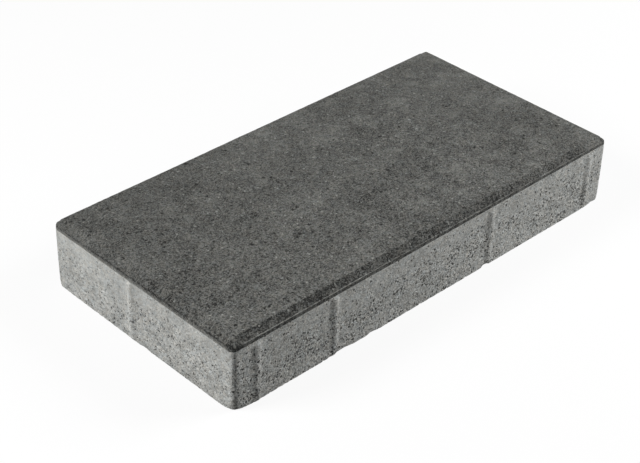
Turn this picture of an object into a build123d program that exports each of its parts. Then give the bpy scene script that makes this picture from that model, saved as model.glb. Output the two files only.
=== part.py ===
from build123d import *
import os

os.makedirs("parts", exist_ok=True)

# A concrete paving stone, pressed in one piece. It lies on its bed face with the origin at the middle
# of that face, its length along X, its width along Y and its tread face up. Sizes are in millimetres.

# Block
length = 400
width = 200
height = 60
corner_radius = 4

# Upper edge: a narrow flat rim, then the pressed chamfer that rises to the tread face
rim_width = 0.8
chamfer_width = 5
chamfer_height = 4
tread_corner_radius = 1.5

# Spacer ribs: soft vertical swells that hold the joint to the next stone open
rib_width = 11
rib_height = 1.4
rib_crest_share = 0.44
rib_root = 1
rib_top_gap = 3
rib_run_out = 4
rib_bury_share = 0.15
end_rib_inset = 21.5
inner_rib_shares = (0.2375, 0.6515)
short_side_rib_share = 0.547

# Insets and heights that follow from the sizes above
tread_inset = rim_width + chamfer_width
shoulder_height = height - chamfer_height
rib_tip_height = shoulder_height - rib_top_gap
rib_straight_height = rib_tip_height - rib_run_out

# Corner that the rib places are measured from, and those places on one long and one short side
corner_x = -length / 2
corner_y = -width / 2
long_side_rib_places = [corner_x + end_rib_inset, -corner_x - end_rib_inset]
long_side_rib_places += [corner_x + share * length for share in inner_rib_shares]
short_side_rib_place = corner_y + short_side_rib_share * width

# One rib, standing out towards -Y from a wall in the XZ plane. Its section is a crest arc that runs
# into the wall through two tangent blend arcs. Above its straight part the same section runs out
# obliquely into the wall, which leaves a pointed tip.
rib_half_width = rib_width / 2
crest_half_width = rib_crest_share * rib_half_width
crest_foot = (crest_half_width, (rib_crest_share - 1) * rib_height)
run_out = Vector(0, rib_height, rib_run_out) * (1 + rib_bury_share)

with BuildPart() as rib:
    with BuildSketch() as rib_section:
        with BuildLine():
            blend = TangentArc((rib_half_width, 0), crest_foot, tangent=(-1, 0))
            TangentArc(blend @ 1, (0, -rib_height), tangent=blend % 1)
            Polyline((rib_half_width, 0), (rib_half_width, rib_root), (0, rib_root))
            mirror(about=Plane.YZ)
        make_face()
    extrude(amount=rib_straight_height)
    with BuildSketch(Plane.XY.offset(rib_straight_height)):
        add(rib_section.sketch)
    extrude(amount=run_out.length, dir=run_out)

# The stone: a block with rounded uprights, the chamfered head on its shoulder, and the ribs. The other
# long side and the other short side have the same ribs, turned half round.
with BuildPart() as paving_stone:
    with BuildSketch():
        RectangleRounded(length, width, corner_radius)
    extrude(amount=shoulder_height)

    with BuildSketch(Plane.XY.offset(shoulder_height)):
        RectangleRounded(length - 2 * rim_width, width - 2 * rim_width, corner_radius - rim_width)
    with BuildSketch(Plane.XY.offset(height)):
        RectangleRounded(length - 2 * tread_inset, width - 2 * tread_inset, tread_corner_radius)
    loft(ruled=True)

    with PolarLocations(0, 2):
        with Locations([(place, corner_y) for place in long_side_rib_places]):
            add(rib.part)
        with Locations(Location((corner_x, short_side_rib_place, 0), (0, 0, -90))):
            add(rib.part)

paving_stone.part.label = "paving_stone"
export_step(paving_stone.part, "parts/paving_stone.step")
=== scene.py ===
# %% [markdown]
# # A concrete paving stone
#
# The real stone is one casting. A mould is filled with pale, earth-damp concrete, a thin dark facing mix
# goes on top, and a press squeezes both into one block with a chamfer round the tread face and low
# spacer ribs on the sides. The CAD model already has that block at its true size. This lesson builds the
# skin that the eye sees: sandy faces, pores, a crumbled lower edge and two colours of concrete.

# %% Load the CAD frame
import math
from collections import namedtuple

import bmesh
import bpy
from mathutils import Matrix, Vector, noise
from mathutils.bvhtree import BVHTree


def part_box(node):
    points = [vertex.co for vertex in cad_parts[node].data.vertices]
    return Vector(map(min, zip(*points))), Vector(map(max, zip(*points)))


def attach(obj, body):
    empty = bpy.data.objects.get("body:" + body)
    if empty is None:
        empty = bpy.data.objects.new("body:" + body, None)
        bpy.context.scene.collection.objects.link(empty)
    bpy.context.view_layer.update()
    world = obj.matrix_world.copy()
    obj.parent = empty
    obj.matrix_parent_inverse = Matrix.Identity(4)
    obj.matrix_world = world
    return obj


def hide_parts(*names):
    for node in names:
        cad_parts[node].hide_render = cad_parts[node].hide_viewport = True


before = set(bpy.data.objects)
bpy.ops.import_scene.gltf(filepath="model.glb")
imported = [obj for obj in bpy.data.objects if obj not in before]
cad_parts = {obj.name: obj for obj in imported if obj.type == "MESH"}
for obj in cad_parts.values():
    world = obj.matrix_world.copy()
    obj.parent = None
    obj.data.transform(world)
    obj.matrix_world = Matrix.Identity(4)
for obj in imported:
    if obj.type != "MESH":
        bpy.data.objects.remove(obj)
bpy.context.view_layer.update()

STONE = "paving_stone"
MM = 0.001

# %% [markdown]
# ## The camera
#
# A product picture like this one is taken with a long lens from well above, so the stone shows its tread
# face, one long side and one short side. Blender could aim a camera with a Track To constraint, but the
# picture is also turned a little about the line of sight. Building the camera's three axes by hand keeps
# that small roll exact.

# %% Camera
CAMERA_EYE = Vector((-0.73953, -0.72314, 0.72159))
CAMERA_HEADING = math.radians(45.271)
CAMERA_DIP = math.radians(34.658)
CAMERA_ROLL = math.radians(1.580)
CAMERA_LENS = 89.870
FILM_WIDTH = 36
NEAR_CLIP, FAR_CLIP = 0.05, 50


def direction(heading, elevation):
    """A unit vector from its heading, counted from +X towards +Y, and its angle above the floor."""
    level = math.cos(elevation)
    return Vector((level * math.cos(heading), level * math.sin(heading), math.sin(elevation)))


sight = direction(CAMERA_HEADING, -CAMERA_DIP)
level_right = sight.cross(Vector((0, 0, 1))).normalized()
camera_right = Matrix.Rotation(-CAMERA_ROLL, 3, sight) @ level_right
camera_up = camera_right.cross(sight)

camera_data = bpy.data.cameras.new("camera")
camera_data.lens = CAMERA_LENS
camera_data.sensor_width = FILM_WIDTH
camera_data.clip_start = NEAR_CLIP
camera_data.clip_end = FAR_CLIP
camera = bpy.data.objects.new("camera", camera_data)
bpy.context.scene.collection.objects.link(camera)
camera.matrix_world = Matrix.LocRotScale(
    CAMERA_EYE, Matrix((camera_right, camera_up, -sight)).transposed(), None)
bpy.context.scene.camera = camera
print("camera looks along", [round(value, 3) for value in sight])

# %% [markdown]
# ## Sizes of the skin
#
# The overall size comes from the CAD node, so the skin cannot drift away from it. The node's box takes in
# the spacer ribs, which stand out from the sides, so their height is taken off again. The dark facing
# reaches a few millimetres down the sides below the rim, and ends there in a sharp straight line.

# %% Sizes
high_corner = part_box(STONE)[1]
RIB_HEIGHT = 1.4 * MM
CHAMFER_WIDTH = 5 * MM
CHAMFER_HEIGHT = 4 * MM
RIM_WIDTH = 0.8 * MM
LIP_HEIGHT = 3.5 * MM
WALL_CORNER_RADIUS = 4 * MM
TREAD_CORNER_RADIUS = 1.5 * MM
BASE_ARRIS = 0.15 * MM

half_length = high_corner.x - RIB_HEIGHT
half_width = high_corner.y - RIB_HEIGHT
height = high_corner.z
shoulder_z = height - CHAMFER_HEIGHT
facing_z = shoulder_z - LIP_HEIGHT
tread_half_length = half_length - RIM_WIDTH - CHAMFER_WIDTH
tread_half_width = half_width - RIM_WIDTH - CHAMFER_WIDTH
print("block", round(2 * half_length / MM, 2), round(2 * half_width / MM, 2), round(height / MM, 2), "mm")

# %% [markdown]
# ## The tread face
#
# The tread is the flat face that people walk on. A single quad would do for a flat colour, but the pressed
# surface is slightly uneven, and that unevenness is what catches slanting light. So it starts as a fine
# grid, with a step of about one and a half millimetres, that can be moved later like clay.

# %% Tread grid
TREAD_COLUMNS = 276
TREAD_ROWS = 134
FACING, CORE = 0, 1

stone = bmesh.new()
# Two values for each vertex, filled in when the ribs are made. A layer that is added later would drop
# every vertex that the script has kept by then.
# They hold how far a vertex lies on the rib flank that faces the lamps and on the flank in shade. The core's
# material paints the one lighter and the other darker: painted light and shade.
lit_flank_layer = stone.verts.layers.float.new("rib_lit_flank")
shaded_flank_layer = stone.verts.layers.float.new("rib_shaded_flank")
bmesh.ops.create_grid(stone, x_segments=TREAD_COLUMNS, y_segments=TREAD_ROWS, size=1)
bmesh.ops.scale(stone, vec=(tread_half_length, tread_half_width, 1), verts=stone.verts)
bmesh.ops.translate(stone, vec=(0, 0, height), verts=stone.verts)
for face in stone.faces:
    face.material_index = FACING
open_edges = [edge for edge in stone.edges if edge.is_boundary]
print("tread:", len(stone.faces), "faces,", len(open_edges), "edges round it")

# %% [markdown]
# ## Chamfer, rim, lip and walls
#
# Going outwards from the tread the press leaves a sloping chamfer, a narrow flat rim and a short upright
# lip, and below that the plain wall down to the bed. All of these run right round the stone, so they are
# made as a potter pulls up a wall: the open edge is extruded ring after ring, and each new ring is scaled
# and lowered to its next outline.

# %% Rings from the tread to the bed
Outline = namedtuple("Outline", "half_length half_width z corner_radius")
Band = namedtuple("Band", "name outline rows material sharp_foot")

tread_outline = Outline(tread_half_length, tread_half_width, height, TREAD_CORNER_RADIUS)
rim_outline = Outline(half_length - RIM_WIDTH, half_width - RIM_WIDTH, shoulder_z,
                      WALL_CORNER_RADIUS - RIM_WIDTH)
lip_outline = Outline(half_length, half_width, shoulder_z, WALL_CORNER_RADIUS)
bands = [
    Band("chamfer", rim_outline, 4, FACING, True),
    Band("rim", lip_outline, 1, FACING, True),
    Band("lip", lip_outline._replace(z=facing_z), 3, FACING, False),
    Band("wall", lip_outline._replace(z=BASE_ARRIS), 42, CORE, False),
    Band("arris", Outline(half_length - BASE_ARRIS, half_width - BASE_ARRIS, 0,
                          WALL_CORNER_RADIUS - BASE_ARRIS), 2, CORE, True),
]


def between(start, end, share):
    """The outline that lies this share of the way from one outline to the next."""
    return Outline(*(a + (b - a) * share for a, b in zip(start, end)))


def next_ring(edges, old, new):
    """Extrude the open edge of the skin from the old outline to the new one."""
    grown = bmesh.ops.extrude_edge_only(stone, edges=edges)["geom"]
    verts = [part for part in grown if isinstance(part, bmesh.types.BMVert)]
    stretch = (new.half_length / old.half_length, new.half_width / old.half_width, 1)
    bmesh.ops.scale(stone, vec=stretch, verts=verts)
    bmesh.ops.translate(stone, vec=(0, 0, new.z - old.z), verts=verts)
    return grown, verts


rings = [("tread", tread_outline, list({vert for edge in open_edges for vert in edge.verts}))]
last_outline = tread_outline
for band in bands:
    band_start = last_outline
    for row in range(band.rows):
        outline = between(band_start, band.outline, (row + 1) / band.rows)
        grown, verts = next_ring(open_edges, last_outline, outline)
        for face in (part for part in grown if isinstance(part, bmesh.types.BMFace)):
            face.material_index = band.material
        open_edges = [part for part in grown if isinstance(part, bmesh.types.BMEdge) and part.is_boundary]
        rings.append((band.name, outline, verts))
        last_outline = outline
    if band.sharp_foot:
        for edge in open_edges:
            edge.smooth = False
print("rings:", len(rings), "from z", round(height / MM, 1), "to", round(last_outline.z / MM, 1), "mm")

# %% [markdown]
# ## Rounded uprights
#
# Mould corners are never dead square. Bevelling four tall edges through dozens of rings would spoil the
# even grid, so the rings are rounded instead: each vertex in a ring's corner slides towards the centre of
# that corner until it lies on the arc. At the foot, where the stone is set down and turned, the corners
# are rubbed rounder, and no two of them the same.

# %% Round the corners of every ring
FOOT_HEIGHT = 16 * MM
foot_rounding = {(-1, -1): 5 * MM, (-1, 1): 0.8 * MM, (1, -1): 1 * MM, (1, 1): 3 * MM}


def clamp(value):
    """Keep a share between 0 and 1."""
    return max(0, min(1, value))


for name, outline, verts in rings:
    for vert in verts:
        corner = (math.copysign(1, vert.co.x), math.copysign(1, vert.co.y))
        radius = outline.corner_radius + foot_rounding[corner] * clamp(1 - vert.co.z / FOOT_HEIGHT) ** 2
        centre_x = math.copysign(outline.half_length - radius, vert.co.x)
        centre_y = math.copysign(outline.half_width - radius, vert.co.y)
        reach = Vector((vert.co.x - centre_x, vert.co.y - centre_y))
        if reach.x * centre_x > 0 and reach.y * centre_y > 0:
            reach.normalize()
            vert.co.x = centre_x + reach.x * radius
            vert.co.y = centre_y + reach.y * radius
print("corner radius of the wall", round(lip_outline.corner_radius / MM, 1), "mm")

# %% [markdown]
# ## Where the facing ends
#
# The dark mix does not end level all round. On the short sides the press drags it a millimetre further
# down than on the long ones, and along the long ones it thins a little towards one end. The last ring of
# the lip is the border between the two colours, so sloping that ring moves the border.

# %% Drag the facing down on the short sides
FACING_DRAG = 1.0 * MM
FACING_THINNING = 0.45 * MM


def along(x):
    """The share of the way from one end of the stone to the other."""
    return 0.5 + 0.5 * x / half_length


border_ring = [verts for name, outline, verts in rings if name == "lip"][-1]
for vert in border_ring:
    past_corner = clamp((abs(vert.co.x) - half_length + WALL_CORNER_RADIUS) / WALL_CORNER_RADIUS)
    vert.co.z += FACING_THINNING * along(vert.co.x) * (1 - past_corner) - FACING_DRAG * past_corner
border_heights = [vert.co.z / MM for vert in border_ring]
print("facing ends at z", round(min(border_heights), 1), "to", round(max(border_heights), 1), "mm")

# %% [markdown]
# ## The bed face
#
# The stone lies on its bed, which is seen only when it is picked up. One big polygon closes the skin, and
# Bisect Plane then cuts it into cells through vertices that are already on its edge. That adds no vertex
# to the wall, so the seam stays closed.

# %% Bed face
BED_STEP = 4
CUT_TOLERANCE = 0.02 * MM
bed_outline = last_outline
bed_face = bmesh.ops.edgeloop_fill(stone, edges=open_edges, mat_nr=CORE)["faces"]
bed_parts = bed_face + open_edges + list(bed_face[0].verts)


def cut_bed(parts, axis, count, half):
    """Cut the bed into strips across one axis, along every few columns of the wall."""
    for column in range(BED_STEP, count, BED_STEP):
        place = Vector((0, 0, 0))
        place[axis] = half * (2 * column / count - 1)
        normal = Vector((0, 0, 0))
        normal[axis] = 1
        parts = bmesh.ops.bisect_plane(
            stone, geom=parts, dist=CUT_TOLERANCE, plane_co=place, plane_no=normal)["geom"]
    return parts


bed_parts = cut_bed(bed_parts, 0, TREAD_COLUMNS, bed_outline.half_length)
bed_parts = cut_bed(bed_parts, 1, TREAD_ROWS, bed_outline.half_width)
bmesh.ops.recalc_face_normals(stone, faces=stone.faces)
print("skin:", len(stone.verts), "vertices,", len(stone.faces), "faces")

# %% [markdown]
# ## Spacer ribs
#
# Low ribs on the sides keep neighbouring stones a joint's width apart. They are sized parts of the
# casting, so the CAD model holds them. A ray is shot from outside at each wall vertex, and where it meets
# a rib the vertex moves out to it. Sculpting the ribs again here could only be less exact. What the CAD
# model leaves out is wear: the foot of each rib is rubbed down where the stone slid over its pallet, most
# of all on the short sides. Two more rays tell how steep the rib is there, and two attributes keep for the
# material which flank faces the lamps and which lies in shade, so that it can paint light and shade
# on them.

# %% Rays at the CAD node
RAY_START = 10 * MM
cad_tree = BVHTree.FromObject(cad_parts[STONE], bpy.context.evaluated_depsgraph_get())


def outward(vert, outline):
    """The side of the block that a ring vertex is on, as a unit vector, or None on a rounded corner."""
    if abs(vert.co.x) < outline.half_length - outline.corner_radius:
        return Vector((0, math.copysign(1, vert.co.y), 0))
    if abs(vert.co.y) < outline.half_width - outline.corner_radius:
        return Vector((math.copysign(1, vert.co.x), 0, 0))
    return None


def stand_out(place, side):
    """How far the CAD node stands out from the plain wall at this place."""
    wall = half_length if side.x else half_width
    hit = cad_tree.ray_cast(place + side * RAY_START, -side)[0]
    return hit.dot(side) - wall


print("the CAD node has", len(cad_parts[STONE].data.polygons), "faces to meet")

# %% Move the walls out to the ribs
LEAST_RIB = 0.01 * MM
LOWEST_RAY = 1 * MM
LONG_FOOT_WEAR, SHORT_FOOT_WEAR = 0.35, 0.9
FOOT_WEAR_HEIGHT = 7 * MM
SLOPE_STEP = 0.8 * MM
STEEP = 0.4

moved_to_rib = 0
for name, outline, verts in rings:
    if name not in ("lip", "wall", "arris"):
        continue
    for vert in verts:
        side = outward(vert, outline)
        if side is None:
            continue
        target = Vector((vert.co.x, vert.co.y, max(vert.co.z, LOWEST_RAY)))
        rib = stand_out(target, side)
        if rib > LEAST_RIB:
            step = Vector((-side.y, -side.x, 0)) * SLOPE_STEP
            slope = (stand_out(target - step, side) - stand_out(target + step, side)) / (2 * SLOPE_STEP)
            # The flank that faces the lamps and the flank in shade, for the painted light and shade of the
            # core.
            vert[lit_flank_layer] = clamp(slope / STEEP)
            vert[shaded_flank_layer] = clamp(-slope / STEEP)
            foot_wear = SHORT_FOOT_WEAR if side.x else LONG_FOOT_WEAR
            worn = foot_wear * clamp(1 - vert.co.z / FOOT_WEAR_HEIGHT)
            vert.co += side * rib * (1 - worn)
            moved_to_rib += 1
print("vertices on ribs:", moved_to_rib)

# %% [markdown]
# ## The slumped foot
#
# The damp concrete is still soft when the mould lifts off, and under its own weight the foot of the long
# sides spreads by less than a millimetre, a little more towards one end. A wall vertex moves out by a
# share that grows towards the bed. The ribs stand further out than that, so the stone gets no wider.

# %% Slump the foot of the long sides
SLUMP_HEIGHT = 14 * MM
SLUMP_INSET = 10 * MM
SLUMP_FADE = 12 * MM
SLUMP_START, SLUMP_END = 0.4 * MM, 1.0 * MM


def slump(x, z):
    """How far the wall has spread at this place along the stone and this height."""
    from_end = clamp((half_length - SLUMP_INSET - abs(x)) / SLUMP_FADE)
    most = SLUMP_START + (SLUMP_END - SLUMP_START) * along(x)
    return most * from_end * clamp(1 - z / SLUMP_HEIGHT) ** 2


for name, outline, verts in rings:
    for vert in verts:
        side = outward(vert, outline)
        spread = slump(vert.co.x, vert.co.z)
        if name in ("wall", "arris") and side is not None and side.y and spread > 0:
            vert.co.y = side.y * max(abs(vert.co.y), outline.half_width + spread)
print("the foot spreads by up to", round(SLUMP_END / MM, 1), "mm")

# %% [markdown]
# ## Worn corners
#
# The eight corners of a stone lose their points first, in the mould, on the pallet and in the stack. A
# bevel would give them a clean machined look. Smoothing only the vertices near each corner, a few times
# over, rounds them as handling does. The upper corners all get the same wear. Of the lower ones, two get
# more than that and two get less.

# %% Wear the corners
SMOOTHING = 0.5
CornerWear = namedtuple("CornerWear", "x y z reach passes")
worn_corners = [CornerWear(x, y, shoulder_z, 6 * MM, 5)
                for x in (-half_length, half_length) for y in (-half_width, half_width)]
worn_corners += [
    CornerWear(-half_length, -half_width, 0, 9 * MM, 6),
    CornerWear(-half_length, half_width, 0, 4 * MM, 3),
    CornerWear(half_length, -half_width, 0, 4 * MM, 3),
    CornerWear(half_length, half_width, 0, 7 * MM, 8),
]
for corner in worn_corners:
    tip = Vector((corner.x, corner.y, corner.z))
    near = [vert for vert in stone.verts if (vert.co - tip).length < corner.reach]
    for _ in range(corner.passes):
        bmesh.ops.smooth_vert(stone, verts=near, factor=SMOOTHING,
                              use_axis_x=True, use_axis_y=True, use_axis_z=True)
print("worn corners:", len(worn_corners))

# %% [markdown]
# ## Sandy, uneven faces
#
# Pressed concrete is flat only from a distance. Close by there is a grain of sand, a slow waviness, and on
# the sides shallow hollows where the damp mix did not close up. Blender's noise functions give each of
# these a size of its own. Every vertex moves inwards along its normal, so the relief never takes the skin
# past the CAD model's box.

# %% Relief
SAND_SIZE, SAND_DEPTH = 2.6 * MM, 0.12 * MM
WAVE_SIZE, WAVE_DEPTH = 45 * MM, 0.12 * MM
HOLLOW_SIZE, HOLLOW_DEPTH = 3.6 * MM, 0.35 * MM
HOLLOW_GAIN, HOLLOW_START = 1.8, 0.25
HOLLOW_TOP, HOLLOW_FULL = 46 * MM, 26 * MM
CLUSTER_SIZE = 24 * MM
CLUSTER_MEAN, CLUSTER_SWING = 0.55, 0.9
# The same noise, read somewhere else, so that the hollows do not follow the sand.
HOLLOW_SHIFT = Vector((7, 3, 5))


def hollow_share(place):
    """How open the concrete of the sides is: not at all under the lip, most in the lower half."""
    rise = clamp((HOLLOW_TOP - place.z) / (HOLLOW_TOP - HOLLOW_FULL))
    cluster = clamp(CLUSTER_MEAN + CLUSTER_SWING * noise.noise(place / CLUSTER_SIZE))
    return rise * cluster


stone.normal_update()
dents = []
for vert in stone.verts:
    place = vert.co
    depth = SAND_DEPTH * clamp(0.5 + noise.noise(place / SAND_SIZE))
    depth += WAVE_DEPTH * clamp(0.5 + noise.noise(place / WAVE_SIZE))
    if place.z < facing_z:
        hollow = clamp(HOLLOW_GAIN * noise.noise(place / HOLLOW_SIZE + HOLLOW_SHIFT) - HOLLOW_START)
        depth += HOLLOW_DEPTH * hollow * hollow_share(place)
    dents.append(vert.normal * depth)
for vert, dent in zip(stone.verts, dents):
    vert.co -= dent
print("deepest hollow", round(max(dent.length for dent in dents) / MM, 2), "mm")

# %% [markdown]
# ## The crumbled lower edge
#
# When the fresh stone leaves the mould its lower edge is the weakest place: here and there grains fall
# away, and a small chip comes off. Each chip is a place on one side with a length and a depth, and it
# pushes the nearby vertices up and in.

# %% Chips
CHIP_STEEPNESS = 1.6
Chip = namedtuple("Chip", "x y half_length depth")
chips = [
    Chip(-half_length, -half_width, 14 * MM, 0.6 * MM),
    Chip(-half_length + 103 * MM, -half_width, 11 * MM, 0.9 * MM),
    Chip(-half_length + 133 * MM, -half_width, 6 * MM, 0.6 * MM),
    Chip(-half_length + 257 * MM, -half_width, 4.5 * MM, 1.2 * MM),
    Chip(-half_length, half_width - 104 * MM, 5 * MM, 0.5 * MM),
    Chip(-half_length, half_width - 8 * MM, 9 * MM, 0.3 * MM),
    Chip(half_length - 60 * MM, half_width, 8 * MM, 1.3 * MM),
    Chip(half_length - 171 * MM, half_width, 3 * MM, 1.1 * MM),
    Chip(half_length - 305 * MM, half_width, 13 * MM, 1.2 * MM),
    Chip(half_length, 47 * MM, 5 * MM, 1.2 * MM),
]


def chip_depth(place):
    """How much has come off the lower edge at this place."""
    depth = 0
    for chip in chips:
        away = (Vector((chip.x, chip.y)) - place.xy).length
        depth = max(depth, chip.depth * clamp(CHIP_STEEPNESS * (1 - away / chip.half_length)))
    return depth


print("chips:", len(chips), "with the deepest", round(max(chip.depth for chip in chips) / MM, 1), "mm deep")

# %% Crumble the lower edge
CRUMB_SIZE, CRUMB_DEPTH = 2.4 * MM, 0.8 * MM
CRUMB_GAIN, CRUMB_START = 1.6, 0.3
CRUMB_SHIFT = Vector((2, 9, 4))
CRUMB_HEIGHT = 3 * MM
CRUMB_REACH = 2 * MM
INWARD_SHARE = 0.6
EDGE_ROUND = 7 * MM
COUNTED_LOSS = 0.2 * MM


def inside_outline(place):
    """How far inside the stone's outline a place is. The outline has worn, round corners."""
    past_x = abs(place.x) - half_length + EDGE_ROUND
    past_y = abs(place.y) - half_width + EDGE_ROUND
    if past_x > 0 and past_y > 0:
        return EDGE_ROUND - math.hypot(past_x, past_y)
    return EDGE_ROUND - max(past_x, past_y)


lifted = 0
for vert in stone.verts:
    place = vert.co
    inside = inside_outline(place)
    if place.z > CRUMB_HEIGHT or inside > CRUMB_REACH:
        continue
    near_edge = (1 - place.z / CRUMB_HEIGHT) * clamp(1 - inside / CRUMB_REACH)
    crumb = CRUMB_DEPTH * clamp(CRUMB_GAIN * noise.noise(place / CRUMB_SIZE + CRUMB_SHIFT) - CRUMB_START)
    off = near_edge * (crumb + chip_depth(place))
    if half_length - abs(place.x) < half_width - abs(place.y):
        inward = Vector((-math.copysign(1, place.x), 0, 0))
    else:
        inward = Vector((0, -math.copysign(1, place.y), 0))
    vert.co += Vector((0, 0, off)) + inward * off * INWARD_SHARE
    lifted += off > COUNTED_LOSS
print("vertices crumbled by more than", round(COUNTED_LOSS / MM, 1), "mm:", lifted)

# %% [markdown]
# ## Node helpers
#
# Both kinds of concrete are made of the same things in other amounts: sand, pores and cloudy patches of
# damp. Their nodes could be wired one by one in the editor. In a script they are easier to read as small
# sums, so each helper adds one kind of thing: a node with its inputs, a line of arithmetic, a product, a
# smooth step between two values, or the start of a node group.

# %% Helpers for shader nodes
def add_node(tree, kind, inputs=None, **settings):
    """Add a shader node. An input that is given a socket is linked, any other gets the value."""
    node = tree.nodes.new("ShaderNode" + kind)
    for name, value in settings.items():
        setattr(node, name, value)
    for name, value in (inputs or {}).items():
        if isinstance(value, bpy.types.NodeSocket):
            tree.links.new(value, node.inputs[name])
        else:
            node.inputs[name].default_value = value
    return node


def calc(tree, operation, *values):
    """One line of arithmetic on sockets and numbers."""
    return add_node(tree, "Math", dict(enumerate(values)), operation=operation).outputs[0]


def multiply(tree, first, *others):
    """The product of sockets and numbers."""
    product = first
    for other in others:
        product = calc(tree, "MULTIPLY", product, other)
    return product


def ramp(tree, value, start, end, low=0.0, high=1.0, kind="SMOOTHSTEP"):
    """Turn a value that runs from start to end into one that runs smoothly from low to high."""
    inputs = {"Value": value, "From Min": start, "From Max": end, "To Min": low, "To Max": high}
    return add_node(tree, "MapRange", inputs, interpolation_type=kind).outputs["Result"]


def new_group(name, inputs, outputs):
    """Start a shader node group with named sockets. Each input is a name, a socket kind and a default."""
    group = bpy.data.node_groups.new(name, "ShaderNodeTree")
    for socket_name, kind, default in inputs:
        socket = group.interface.new_socket(socket_name, in_out="INPUT", socket_type="NodeSocket" + kind)
        if default is not None:
            socket.default_value = default
    for socket_name in outputs:
        group.interface.new_socket(socket_name, in_out="OUTPUT", socket_type="NodeSocketFloat")
    return group, group.nodes.new("NodeGroupInput"), group.nodes.new("NodeGroupOutput")


print("helpers for nodes: add_node, calc, multiply, ramp, new_group")

# %% [markdown]
# ## Sand
#
# Seen close by, concrete is a bed of sand grains in cement. A noise texture alone would give soft spots.
# Here every Voronoi cell is one grain, with a tone and a tint of its own, and a finer noise is the dust
# between the grains. It is a node group, so a material can place it several times, each with its own
# grain size.

# %% Node group: sand grain
DUST_FINENESS = 1.8
GRAIN_SWING, DUST_SWING = 0.9, 0.6

sand_group, inlet, outlet = new_group(
    "sand_grain", [("Place", "Vector", None), ("Grain Size", "Float", 2 * MM)], ["Sand", "Dome", "Tint"])
place = inlet.outputs["Place"]
scale = calc(sand_group, "DIVIDE", 1.0, inlet.outputs["Grain Size"])
grains = add_node(sand_group, "TexVoronoi", {"Vector": place, "Scale": scale},
                  voronoi_dimensions="3D", feature="F1").outputs
cell = add_node(sand_group, "SeparateColor", {"Color": grains["Color"]}).outputs
dust_scale = multiply(sand_group, scale, DUST_FINENESS)
dust = add_node(sand_group, "TexNoise",
                {"Vector": place, "Scale": dust_scale, "Detail": 2.0, "Roughness": 0.7},
                noise_dimensions="3D").outputs[0]
grain_part = ramp(sand_group, cell["Red"], 0.0, 1.0, -GRAIN_SWING, GRAIN_SWING, kind="LINEAR")
dust_part = ramp(sand_group, dust, 0.25, 0.75, -DUST_SWING, DUST_SWING, kind="LINEAR")
dome = ramp(sand_group, grains["Distance"], 0.0, 0.8, 1.0, 0.0, kind="LINEAR")
sand_group.links.new(calc(sand_group, "ADD", grain_part, dust_part), outlet.inputs["Sand"])
sand_group.links.new(dome, outlet.inputs["Dome"])
sand_group.links.new(cell["Green"], outlet.inputs["Tint"])
print("group", sand_group.name, "with", len(sand_group.nodes), "nodes")

# %% [markdown]
# ## Pores
#
# Where the damp mix did not close up it leaves pores, dark holes with a faint pale rim. To model thousands
# of them would cost millions of triangles. They come from Voronoi cells too: a share of the cells holds a
# pore, each pore has a size of its own, and a little noise in the coordinates makes its edge ragged.

# %% Node group: pores
WOBBLE_FINENESS, WOBBLE_REACH = 2.5, 0.5
SMALLEST_PORE, PORE_SPREAD = 0.6, 0.8
DARK_SHARE, RIM_SHARE = 0.75, 1.5

pore_group, inlet, outlet = new_group(
    "pores", [("Place", "Vector", None), ("Spacing", "Float", 4 * MM), ("Share", "Float", 0.5),
              ("Radius", "Float", 0.3)], ["Pore", "Rim"])
place = inlet.outputs["Place"]
scale = calc(pore_group, "DIVIDE", 1.0, inlet.outputs["Spacing"])
wobble_scale = multiply(pore_group, scale, WOBBLE_FINENESS)
wobble = add_node(pore_group, "TexNoise", {"Vector": place, "Scale": wobble_scale, "Detail": 1.0},
                  noise_dimensions="3D").outputs["Color"]
sway = add_node(pore_group, "VectorMath", {0: wobble, 1: (0.5, 0.5, 0.5)}, operation="SUBTRACT").outputs[0]
sway_size = multiply(pore_group, inlet.outputs["Spacing"], WOBBLE_REACH)
shift = add_node(pore_group, "VectorMath", {0: sway, "Scale": sway_size}, operation="SCALE").outputs[0]
ragged = add_node(pore_group, "VectorMath", {0: place, 1: shift}, operation="ADD").outputs[0]
cells = add_node(pore_group, "TexVoronoi", {"Vector": ragged, "Scale": scale},
                 voronoi_dimensions="3D", feature="F1").outputs
chance = add_node(pore_group, "SeparateColor", {"Color": cells["Color"]}).outputs
open_cell = calc(pore_group, "LESS_THAN", chance["Red"], inlet.outputs["Share"])
size_share = calc(pore_group, "MULTIPLY_ADD", chance["Green"], PORE_SPREAD, SMALLEST_PORE)
radius = multiply(pore_group, inlet.outputs["Radius"], size_share)
pore = ramp(pore_group, cells["Distance"], multiply(pore_group, radius, DARK_SHARE), radius, 1.0, 0.0)
with_rim = ramp(pore_group, cells["Distance"], radius, multiply(pore_group, radius, RIM_SHARE), 1.0, 0.0)
rim = calc(pore_group, "SUBTRACT", with_rim, pore)
pore_group.links.new(multiply(pore_group, pore, open_cell), outlet.inputs["Pore"])
pore_group.links.new(multiply(pore_group, rim, open_cell), outlet.inputs["Rim"])
print("group", pore_group.name, "with", len(pore_group.nodes), "nodes")

# %% [markdown]
# ## Clouding
#
# Damp, drying and uneven mixing leave soft patches, a little lighter or darker than the rest. A slow noise
# that is stretched to run from -1 to 1 gives them at any size, from a speck to a patch three fingers wide.

# %% Node group: clouding
cloud_group, inlet, outlet = new_group(
    "clouding", [("Place", "Vector", None), ("Cloud Size", "Float", 40 * MM)], ["Cloud"])
place = inlet.outputs["Place"]
scale = calc(cloud_group, "DIVIDE", 1.0, inlet.outputs["Cloud Size"])
slow_noise = add_node(cloud_group, "TexNoise",
                      {"Vector": place, "Scale": scale, "Detail": 2.0, "Roughness": 0.5},
                      noise_dimensions="3D").outputs[0]
cloud = ramp(cloud_group, slow_noise, 0.3, 0.7, -1.0, 1.0, kind="LINEAR")
cloud_group.links.new(cloud, outlet.inputs["Cloud"])
print("group", cloud_group.name, "with", len(cloud_group.nodes), "nodes")

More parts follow.
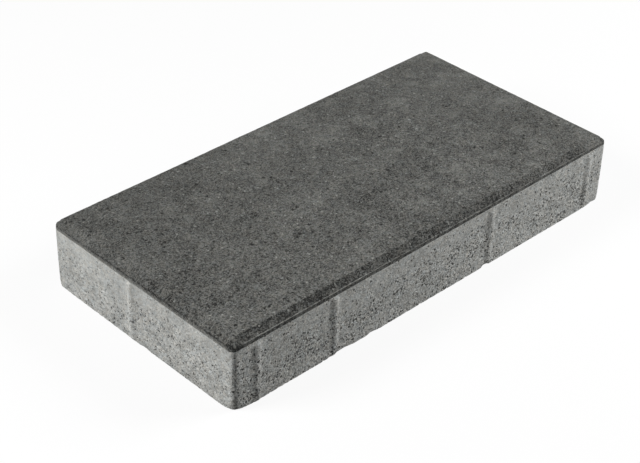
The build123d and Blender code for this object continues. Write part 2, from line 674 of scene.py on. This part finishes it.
# %% [markdown]
# ## From signals to concrete
#
# Placed in a material, each group gives signals: numbers about zero, or masks from 0 to 1. The tone of a
# concrete is a sum of such signals, each times its weight, and it multiplies the colour of the cement. A
# stack of Mix nodes could do the same, but it soon hides what each layer adds. The Principled shader stays
# in the material itself, where an export can read it.

# %% Helpers for signals
def place_group(tree, group, place, **values):
    """Place a node group, fill its inputs and give back its outputs."""
    inputs = {name.replace("_", " ").title(): value for name, value in values.items()}
    return add_node(tree, "Group", {"Place": place, **inputs}, node_tree=group).outputs


def weigh(tree, start, *terms):
    """A start value plus each signal times its weight."""
    total = start
    for signal, weight in terms:
        total = calc(tree, "MULTIPLY_ADD", signal, weight, total)
    return total


def vary(tree, tone, cloud, least, most):
    """A tone times a factor that runs from least to most as the cloud runs from -1 to 1."""
    return multiply(tree, tone, ramp(tree, cloud, -1.0, 1.0, least, most, kind="LINEAR"))


def away_from(tree, value, middle):
    """How far a coordinate is from a place on its axis."""
    return calc(tree, "ABSOLUTE", calc(tree, "SUBTRACT", value, middle))


print("helpers for signals: place_group, weigh, vary, away_from")

# %% Helpers for a concrete material
GRAIN_WARMTH = 0.045
DARKEST_TONE = 0.15
CONCRETE_SPECULAR = 0.2
# A Mix node has sockets for several kinds of data. These are the ones for two colours and their mix.
COLOUR_A, COLOUR_B, MIXED_COLOUR = 6, 7, 2


def new_concrete(name):
    """A material with its coordinates: the whole vector and its x, y and z."""
    material = bpy.data.materials.new(name)
    material.use_nodes = True
    tree = material.node_tree
    place = add_node(tree, "TexCoord").outputs["Object"]
    parts = add_node(tree, "SeparateXYZ", {"Vector": place}).outputs
    return material, tree, place, parts


def finish_concrete(material, colour, fine, medium, tone, relief, bump_depth, roughness):
    """Give the material its shader: warmer and cooler grains times the tone, a bump and a roughness."""
    tree = material.node_tree
    red, green, blue = colour
    cool = (red * (1 - GRAIN_WARMTH), green, blue * (1 + GRAIN_WARMTH), 1)
    warm = (red * (1 + GRAIN_WARMTH), green, blue * (1 - GRAIN_WARMTH), 1)
    tint = weigh(tree, 0.0, (fine["Tint"], 0.6), (medium["Tint"], 0.4))
    grains = add_node(tree, "Mix", {"Factor": tint, COLOUR_A: cool, COLOUR_B: warm}, data_type="RGBA")
    toned_inputs = {"Factor": 1.0, COLOUR_A: grains.outputs[MIXED_COLOUR],
                    COLOUR_B: calc(tree, "MAXIMUM", tone, DARKEST_TONE)}
    toned = add_node(tree, "Mix", toned_inputs, data_type="RGBA", blend_type="MULTIPLY")
    bump = add_node(tree, "Bump", {"Height": relief, "Distance": bump_depth, "Strength": 1.0})
    shader = tree.nodes["Principled BSDF"]
    shader.inputs["Specular IOR Level"].default_value = CONCRETE_SPECULAR
    tree.links.new(toned.outputs[MIXED_COLOUR], shader.inputs["Base Color"])
    tree.links.new(roughness, shader.inputs["Roughness"])
    tree.links.new(bump.outputs["Normal"], shader.inputs["Normal"])


print("helpers for materials: new_concrete, finish_concrete")

# %% [markdown]
# ## Dark facing: the mix
#
# The facing is a fine mix of dark cement and sand. It shows grains of several sizes, a few pale ones among
# them, and clouds from a few millimetres to a few centimetres wide. A picture of concrete could be wrapped
# round the stone, but it would be sharp at one distance only. The groups have real sizes instead.

# %% Facing: grains and clouds
FACING_COLOUR = (0.1117, 0.1126, 0.1053)
facing, tree, place, (x, y, z) = new_concrete("dark_facing")

fine = place_group(tree, sand_group, place, grain_size=0.88 * MM)
medium = place_group(tree, sand_group, place, grain_size=3.2 * MM)
coarse = place_group(tree, sand_group, place, grain_size=9 * MM)
pale_grains = place_group(tree, pore_group, place, spacing=3.4 * MM, share=0.32, radius=0.24)["Pore"]
cloud = place_group(tree, cloud_group, place, cloud_size=50 * MM)["Cloud"]
patch = place_group(tree, cloud_group, place, cloud_size=20 * MM)["Cloud"]
blotch = place_group(tree, cloud_group, place, cloud_size=11 * MM)["Cloud"]
speck = place_group(tree, cloud_group, place, cloud_size=4.5 * MM)["Cloud"]
print("facing with its signals:", len(tree.nodes), "nodes")

# %% [markdown]
# ## Dark facing: the long edges
#
# Along the chamfer of the long sides the press does not close the mix as well, so it is darker and blotchy
# there, with a sooty stretch near one end and a darker crease beside the tread. The narrow rim is rubbed
# pale and carries a painted highlight, the bright line of a lit ledge, and the lip under it is speckled.
# Each of these strips could be a material of its own, but its edge would be too hard. A mask from the
# distance to the edge fades over a fraction of a millimetre.

# %% Facing: masks of the long chamfer, rim and lip
TREAD_BLUR, RIM_BLUR = 0.4 * MM, 0.2 * MM
rim_half_width = half_width - RIM_WIDTH

out_x = calc(tree, "ABSOLUTE", x)
out_y = calc(tree, "ABSOLUTE", y)
between_corners = ramp(tree, out_x, half_length - 4 * MM, half_length - 12 * MM)
past_tread = ramp(tree, out_y, tread_half_width - TREAD_BLUR, tread_half_width + TREAD_BLUR)
past_chamfer = ramp(tree, out_y, rim_half_width - RIM_BLUR, rim_half_width + RIM_BLUR)
long_chamfer = multiply(tree, calc(tree, "SUBTRACT", past_tread, past_chamfer), between_corners)
long_edge = multiply(tree, past_chamfer, between_corners)
on_rim = multiply(tree, ramp(tree, out_y, half_width - 0.7 * MM, half_width - 0.45 * MM),
                  ramp(tree, z, shoulder_z - 0.8 * MM, shoulder_z - 0.5 * MM))
on_lip = ramp(tree, z, shoulder_z - 0.5 * MM, shoulder_z - 0.9 * MM)
print("chamfer from", round(tread_half_width / MM, 1), "to", round(rim_half_width / MM, 1), "mm out")

# %% Facing: tone of the long edges
SOOT_PLACE = -138 * MM

chamfer_tone = ramp(tree, x, -150 * MM, 140 * MM, -0.48, -0.25, kind="LINEAR")
worn_far_end = ramp(tree, x, 160 * MM, 182 * MM)
worn_near_end = ramp(tree, x, -165 * MM, -185 * MM)
sooty_stretch = ramp(tree, away_from(tree, x, SOOT_PLACE), 45 * MM, 15 * MM)
crease = multiply(tree, ramp(tree, out_y, half_width - 2.6 * MM, half_width - 4.6 * MM),
                  ramp(tree, x, -30 * MM, -70 * MM))
chamfer_tone = weigh(tree, chamfer_tone, (worn_far_end, 0.5), (worn_near_end, 0.12), (sooty_stretch, -0.14))
chamfer_tone = weigh(tree, vary(tree, chamfer_tone, blotch, 0.88, 1.12), (crease, -0.15))
edge_tone = vary(tree, ramp(tree, x, -190 * MM, 195 * MM, -0.36, 0.1, kind="LINEAR"), blotch, 0.3, 1.7)
# The long rim is partly rubbed pale and partly a painted highlight: the bright line of a lit ledge.
rim_tone = vary(tree, ramp(tree, x, -50 * MM, -90 * MM, 0.55, 1.15), speck, 0.1, 1.9)
rim_wear_and_highlight = multiply(tree, on_rim, long_edge)
lip_specks = multiply(tree, on_lip, long_edge, calc(tree, "ADD", speck, blotch))
long_edges = weigh(tree, 0.0, (long_chamfer, chamfer_tone), (long_edge, edge_tone), (rim_wear_and_highlight, rim_tone),
                   (lip_specks, 0.3))
print("facing with its long edges:", len(tree.nodes), "nodes")

# %% [markdown]
# ## Dark facing: the short edges
#
# On the short sides a line of painted shade runs under the rim, deepest in the middle and sinking a little
# towards one corner. Below it a thin film of the core's pale cement has run over the lip. Half of the
# chamfer is rubbed paler. Masks from the height and the distance to the edge place all three.

# %% Facing: tone of the short edges
LINE_MIDDLE, LINE_SINKS = -20 * MM, 0.8 * MM

short_edge = ramp(tree, out_x, half_length - 2 * MM, half_length - 0.8 * MM)
# A line of painted shade under the rim of the short sides.
line_z = calc(tree, "ADD", z, ramp(tree, y, 35 * MM, 90 * MM, 0.0, LINE_SINKS))
under_rim = multiply(tree, ramp(tree, line_z, shoulder_z, shoulder_z - 0.3 * MM),
                     ramp(tree, line_z, shoulder_z - 1.4 * MM, shoulder_z - 0.9 * MM))
line_depth = ramp(tree, away_from(tree, y, LINE_MIDDLE), 40 * MM, 80 * MM, 0.7, 0.52)
painted_shade_line = multiply(tree, short_edge, under_rim, vary(tree, line_depth, speck, 0.4, 1.6))
pale_film = multiply(tree, short_edge,
                     ramp(tree, z, shoulder_z - 1.4 * MM, shoulder_z - 4.4 * MM, kind="LINEAR"))
short_rub = multiply(tree, ramp(tree, out_x, half_length - 8 * MM, half_length - 6 * MM),
                     ramp(tree, y, 0.0, 40 * MM))
short_edges = weigh(tree, 0.0, (painted_shade_line, -1.0), (pale_film, 1.15), (short_rub, 0.2))
print("facing with its short edges:", len(tree.nodes), "nodes")

# %% [markdown]
# ## Dark facing: places of wear, and painted shade at one corner
#
# No stone is the same all over. Here one corner, in shade between the two lamps, is painted darker below
# the tread: painted shade. At the other end of that long side the end chamfer is sooty and the tread
# beside it rubbed. A strip of the tread is worn pale, and the tread behind it is damp and dark. Painting
# them by hand would need a texture, so each is a product of two or three ramps along the axes.

# %% Facing: painted corner shade, sooty, rubbed, worn and damp places
# Painted shade: the chamfer and lip of the corner that lies between the two lamps are made darker.
near_corner = calc(tree, "ADD", ramp(tree, x, -186 * MM, -199 * MM), ramp(tree, y, -86 * MM, -99 * MM))
painted_corner_shade = multiply(tree, ramp(tree, near_corner, 1.1, 1.8), ramp(tree, z, height, shoulder_z))
end_chamfer = ramp(tree, x, tread_half_length - TREAD_BLUR, tread_half_length + TREAD_BLUR)
end_soot = multiply(tree, end_chamfer, ramp(tree, y, -55 * MM, -85 * MM))
end_rub = multiply(tree, ramp(tree, x, 174 * MM, 190 * MM), ramp(tree, y, -70 * MM, -90 * MM),
                   calc(tree, "SUBTRACT", 1.0, end_chamfer))
worn_strip = multiply(tree, ramp(tree, y, -50 * MM, -80 * MM), ramp(tree, x, -70 * MM, -130 * MM))
damp_end = multiply(tree, ramp(tree, x, -20 * MM, -110 * MM), ramp(tree, y, -40 * MM, 60 * MM))
worn_places = weigh(tree, 0.0, (painted_corner_shade, -0.75), (end_soot, -0.4), (end_rub, 0.22), (worn_strip, 0.24),
                    (damp_end, -0.13))
print("facing with its wear:", len(tree.nodes), "nodes")

# %% [markdown]
# ## Dark facing: tread and finish
#
# Small dark pits lie between the grains, most of them at one end and along the chamfer. Grain and clouds
# are strongest along one long side, and pale dry patches show towards the other end. With the edges and
# the wear these add up to the tone. The same signals feed the bump and the roughness, so a pit is dark,
# deep and dull at the same place.

# %% Facing: pits and patches
pit_share = multiply(tree, ramp(tree, x, -160 * MM, -30 * MM, 0.32, 0.11),
                     ramp(tree, y, 10 * MM, 90 * MM, 1.0, 0.45))
pit_share = calc(tree, "MAXIMUM", pit_share, multiply(tree, long_chamfer, 0.3))
pits = place_group(tree, pore_group, place, spacing=4.4 * MM, share=pit_share, radius=0.29)["Pore"]
fine_pits = place_group(tree, pore_group, place, spacing=2.2 * MM, share=pit_share, radius=0.34)["Pore"]
grain = weigh(tree, 0.0, (fine["Sand"], 0.85), (medium["Sand"], 0.11), (coarse["Sand"], 0.18),
              (pale_grains, 1.3), (pits, -0.95), (fine_pits, -0.65))
grain_strength = multiply(tree, ramp(tree, y, -100 * MM, 100 * MM, 1.1, 0.75, kind="LINEAR"),
                          ramp(tree, x, 60 * MM, 200 * MM, 1.0, 0.78))
cloud_strength = ramp(tree, y, -60 * MM, 60 * MM, 0.19, 0.13)
dry_patches = multiply(tree, ramp(tree, patch, -0.1, 1.0, -0.15, 0.85),
                       ramp(tree, x, -90 * MM, 40 * MM, 0.3, 1.0))
print("facing with its pits:", len(tree.nodes), "nodes")

# %% Facing: colour, bump and roughness
FACING_BUMP = 0.3 * MM

tone = weigh(tree, 1.01, (grain, grain_strength), (cloud, cloud_strength), (dry_patches, 0.38),
             (long_edges, 1.0), (short_edges, 1.0), (worn_places, 1.0))
relief = weigh(tree, 0.0, (fine["Sand"], 0.3), (medium["Dome"], 0.25), (pits, -0.9), (pale_grains, 0.3))
roughness = weigh(tree, 0.86, (fine["Sand"], 0.05), (pits, 0.06))
finish_concrete(facing, FACING_COLOUR, fine, medium, tone, relief, FACING_BUMP, roughness)
print("material", facing.name, "with", len(tree.nodes), "nodes")

# %% [markdown]
# ## Pale core: the mix
#
# The core is a coarser, leaner and paler mix. Faint upright smears show the way that the stone was
# pushed out of the mould. They are the same clouds as before, in coordinates that a Mapping node has
# squeezed along z, which draws every cloud out to four times its height.

# %% Core: grains and clouds
CORE_COLOUR = (0.60, 0.6054, 0.579)
SMEAR_SQUEEZE = 0.25
core, tree, place, (x, y, z) = new_concrete("pale_core")

fine = place_group(tree, sand_group, place, grain_size=0.82 * MM)
medium = place_group(tree, sand_group, place, grain_size=3.2 * MM)
coarse = place_group(tree, sand_group, place, grain_size=10 * MM)
cloud = place_group(tree, cloud_group, place, cloud_size=40 * MM)["Cloud"]
cluster = place_group(tree, cloud_group, place, cloud_size=13 * MM)["Cloud"]
upright = add_node(tree, "Mapping", {"Vector": place, "Scale": (1, 1, SMEAR_SQUEEZE)}).outputs["Vector"]
smear = place_group(tree, cloud_group, upright, cloud_size=9 * MM)["Cloud"]
print("core with its signals:", len(tree.nodes), "nodes")

# %% [markdown]
# ## Pale core: torn and porous
#
# Under the lip the mould wall has smeared the core smooth and pale. Further down it opens, with dark pores
# in clusters. The long sides are torn rougher than the short ones, and more porous towards one end. Two
# factors, one for the grain and one for the pores, say how rough each place is.

# %% Core: how torn each place is
out_x = calc(tree, "ABSOLUTE", x)
out_y = calc(tree, "ABSOLUTE", y)
torn = ramp(tree, out_y, half_width - 3 * MM, half_width - 1 * MM)
untorn = calc(tree, "SUBTRACT", 1.0, torn)
openness = ramp(tree, z, 48 * MM, 26 * MM, 0.65, 1.0)
lower_half = ramp(tree, z, 46 * MM, 24 * MM, 0.4, 1.0)
short_grain = ramp(tree, y, 80 * MM, -60 * MM, 0.68, 1.0)
short_pores = multiply(tree, ramp(tree, y, 80 * MM, -60 * MM, 0.5, 0.6), lower_half)
tearing = multiply(tree, ramp(tree, torn, 0.0, 1.0, short_grain, 1.8, kind="LINEAR"),
                   ramp(tree, x, -half_length, half_length, 0.9, 0.82, kind="LINEAR"))
pitting = multiply(tree, ramp(tree, torn, 0.0, 1.0, short_pores, 1.8, kind="LINEAR"),
                   ramp(tree, x, -half_length, half_length, 1.65, 0.6, kind="LINEAR"))
print("core with its torn places:", len(tree.nodes), "nodes")

# %% Core: pores and patchy grain
pore_share = multiply(tree, ramp(tree, z, 48 * MM, 26 * MM, 0.28, 1.0),
                      ramp(tree, cluster, -0.7, 0.8, 0.25, 0.95),
                      ramp(tree, torn, 0.0, 1.0, 0.7, 1.05, kind="LINEAR"))
pores = place_group(tree, pore_group, place, spacing=3.5 * MM, share=pore_share, radius=0.29)
fine_pores = place_group(tree, pore_group, place, spacing=2.0 * MM, share=pore_share, radius=0.32)
holes = weigh(tree, 0.0, (pores["Pore"], -0.72), (pores["Rim"], 0.08), (fine_pores["Pore"], -0.58))
patchy = multiply(tree, openness, ramp(tree, cluster, -0.7, 0.8, 0.75, 1.25))
grain = multiply(tree, weigh(tree, 0.0, (fine["Sand"], 0.37), (medium["Sand"], 0.03)), patchy)
mottle = multiply(tree, weigh(tree, 0.0, (medium["Sand"], 0.05), (coarse["Sand"], 0.05)), untorn, lower_half)
print("core with its pores:", len(tree.nodes), "nodes")

# %% [markdown]
# ## Pale core: ribs and foot
#
# On the short sides the rib flank that faces the lamps is painted paler and the flank in shade darker:
# painted light and shade. On the long sides a soft line of painted shade runs down the foot of the lit
# flank, and the flank in shade is painted paler or darker with its place and height. The attributes from
# the rib step tell the flanks apart, which coordinates alone could not. At the foot one corner is rubbed
# pale and painted lighter against the shade of its rounding, the middle of the short sides gets painted
# shade, and a darker band runs along the base.

# %% Core: rib flanks and foot
# Painted light and shade on the rib flanks. On the short sides the flank that faces the lamps is made paler
# and the flank in shade darker. On the long sides the flank in shade is made paler or darker with place and
# height, and the foot of the lit flank gets a line of painted shade.
lit_flank = add_node(tree, "Attribute", attribute_name="rib_lit_flank").outputs["Fac"]
shaded_flank = add_node(tree, "Attribute", attribute_name="rib_shaded_flank").outputs["Fac"]
shaded_flank_by_height = multiply(tree, ramp(tree, x, 20 * MM, 150 * MM), ramp(tree, z, 12 * MM, 42 * MM, -0.1, 0.14))
long_flank_tone = weigh(tree, shaded_flank_by_height, (ramp(tree, x, -100 * MM, -150 * MM), 0.1))
lit_flank_foot_shade = multiply(tree, torn, ramp(tree, lit_flank, 0.05, 0.35),
                      ramp(tree, lit_flank, 0.95, 0.65))
flanks = weigh(tree, 0.0, (multiply(tree, lit_flank, untorn), 0.1),
               (multiply(tree, shaded_flank, untorn), -0.13),
               (multiply(tree, shaded_flank, torn), long_flank_tone), (lit_flank_foot_shade, -0.07))
# The corner at the foot is rubbed pale, and also painted lighter against the shade of its rounding: painted
# light.
corner_foot_wear_and_light = multiply(tree, ramp(tree, x, -180 * MM, -194 * MM), ramp(tree, y, -80 * MM, -94 * MM),
                       ramp(tree, z, 22 * MM, 6 * MM))
# Painted shade at the foot, in the middle of the short sides.
mid_foot_shade = multiply(tree, ramp(tree, out_y, 70 * MM, 30 * MM), ramp(tree, z, 13 * MM, 5 * MM),
                    ramp(tree, out_x, half_length - 3 * MM, half_length - 1 * MM))
base_band = ramp(tree, z, 7 * MM, 0.5 * MM)
dark_end = multiply(tree, torn, ramp(tree, x, -60 * MM, -150 * MM))
foot = weigh(tree, 0.0, (corner_foot_wear_and_light, 0.16), (mid_foot_shade, -0.1), (base_band, -0.05), (dark_end, -0.04))
print("core with its ribs and foot:", len(tree.nodes), "nodes")

# %% Core: colour, bump and roughness
CORE_BUMP = 0.6 * MM

tone = weigh(tree, 1.01, (grain, tearing), (holes, pitting), (medium["Sand"], 0.07), (coarse["Sand"], 0.07),
             (mottle, 1.0), (flanks, 1.0), (foot, 1.0), (cloud, 0.04), (smear, 0.05), (openness, -0.07))
relief = weigh(tree, 0.0, (multiply(tree, fine["Sand"], openness), 0.1),
               (multiply(tree, medium["Dome"], openness), 0.4), (pores["Pore"], -1.0),
               (fine_pores["Pore"], -0.5))
roughness = weigh(tree, 0.9, (fine["Sand"], 0.04), (pores["Pore"], 0.05))
finish_concrete(core, CORE_COLOUR, fine, medium, tone, relief, CORE_BUMP, roughness)
print("material", core.name, "with", len(tree.nodes), "nodes")

# %% [markdown]
# ## Put the stone in the scene
#
# The bmesh becomes one object at the origin, as a CAD node does. It replaces the plain CAD block in the
# picture and rides on the only body there is.

# %% Stone object
for face in stone.faces:
    face.smooth = True
mesh = bpy.data.meshes.new("cast_stone")
stone.to_mesh(mesh)
stone.free()
mesh.materials.append(facing)
mesh.materials.append(core)
cast_stone = bpy.data.objects.new("cast_stone", mesh)
bpy.context.scene.collection.objects.link(cast_stone)
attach(cast_stone, "root")
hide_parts(STONE)
mesh.calc_loop_triangles()
print("cast_stone:", len(mesh.loop_triangles), "triangles")

# %% [markdown]
# ## Floor and background
#
# A product picture has a white setting. A bright floor would throw its light back at the stone and wash out
# the sides. So the floor and the world are white to the camera, to mirrors and to glass, and dim to the
# light that bounces. The Light Path node tells these rays apart. The floor keeps a faint shadow, because a
# little plain grey is added to its glow.

# %% White for the camera, dim for the bounce
FLOOR_GLOW = 0.885
FLOOR_SHADE = 0.12
FLOOR_BOUNCE = 0.12


def seen_directly(tree):
    """1 for rays that come from the camera, a mirror or glass, 0 for light that bounces."""
    path = add_node(tree, "LightPath").outputs
    seen = calc(tree, "MAXIMUM", path["Is Camera Ray"], path["Is Glossy Ray"])
    return calc(tree, "MAXIMUM", seen, path["Is Transmission Ray"])


def grey(level):
    """A colour of this level, from black at 0 to white at 1."""
    return (level, level, level, 1)


floor_material = bpy.data.materials.new("studio_floor")
floor_material.use_nodes = True
tree = floor_material.node_tree
tree.nodes.remove(tree.nodes["Principled BSDF"])
glow = add_node(tree, "Emission", {"Color": grey(1), "Strength": FLOOR_GLOW})
shade = add_node(tree, "BsdfDiffuse", {"Color": grey(FLOOR_SHADE)})
lit = add_node(tree, "AddShader", {0: glow.outputs[0], 1: shade.outputs[0]})
bounce = add_node(tree, "BsdfDiffuse", {"Color": grey(FLOOR_BOUNCE)})
choice = add_node(tree, "MixShader", {0: seen_directly(tree), 1: bounce.outputs[0], 2: lit.outputs[0]})
tree.links.new(choice.outputs[0], tree.nodes["Material Output"].inputs["Surface"])
print("material", floor_material.name, "with", len(tree.nodes), "nodes")

# %% Floor
FLOOR_HALF = 6

floor_bmesh = bmesh.new()
bmesh.ops.create_grid(floor_bmesh, x_segments=1, y_segments=1, size=FLOOR_HALF)
floor_mesh = bpy.data.meshes.new("studio_floor")
floor_bmesh.to_mesh(floor_mesh)
floor_bmesh.free()
floor_mesh.materials.append(floor_material)
floor = bpy.data.objects.new("studio_floor", floor_mesh)
bpy.context.scene.collection.objects.link(floor)
print("floor", 2 * FLOOR_HALF, "m wide")

# %% World
AMBIENT = 0.07

world = bpy.data.worlds.new("studio")
world.use_nodes = True
bpy.context.scene.world = world
tree = world.node_tree
strength = ramp(tree, seen_directly(tree), 0.0, 1.0, AMBIENT, 1.0, kind="LINEAR")
background = tree.nodes["Background"]
background.inputs["Color"].default_value = grey(1)
tree.links.new(strength, background.inputs["Strength"])
print("world: strength 1 to the camera,", AMBIENT, "to the stone")

# %% [markdown]
# ## Softboxes
#
# Light that rakes across a face shows its grain, and light from the camera's side would flatten it. So two
# softboxes stand opposite each other, one behind on the left and one on the right. They light the tread and
# leave the uprights that face the camera a little darker. Square area lamps give the soft edge of a real
# softbox.

# %% Softboxes
SOFTBOX_ELEVATION = math.radians(36)
SOFTBOX_SIZE = 0.7


def softbox(name, heading, distance, watts):
    """A square lamp that looks at the stone from this heading in degrees and this distance."""
    lamp = bpy.data.lights.new(name, "AREA")
    lamp.shape = "SQUARE"
    lamp.size = SOFTBOX_SIZE
    lamp.energy = watts
    towards_lamp = direction(math.radians(heading), SOFTBOX_ELEVATION)
    box = bpy.data.objects.new(name, lamp)
    bpy.context.scene.collection.objects.link(box)
    box.location = towards_lamp * distance
    box.rotation_euler = towards_lamp.to_track_quat("Z", "Y").to_euler()
    box.visible_camera = False


softbox("softbox_left", heading=156, distance=1.8, watts=25.2)
softbox("softbox_right", heading=325, distance=1.5, watts=16.4)
print("two softboxes,", SOFTBOX_SIZE, "m wide")

# %% [markdown]
# ## Last settings
#
# The Standard view shows colours as they are written.

bpy.context.scene.view_settings.view_transform = "Standard"
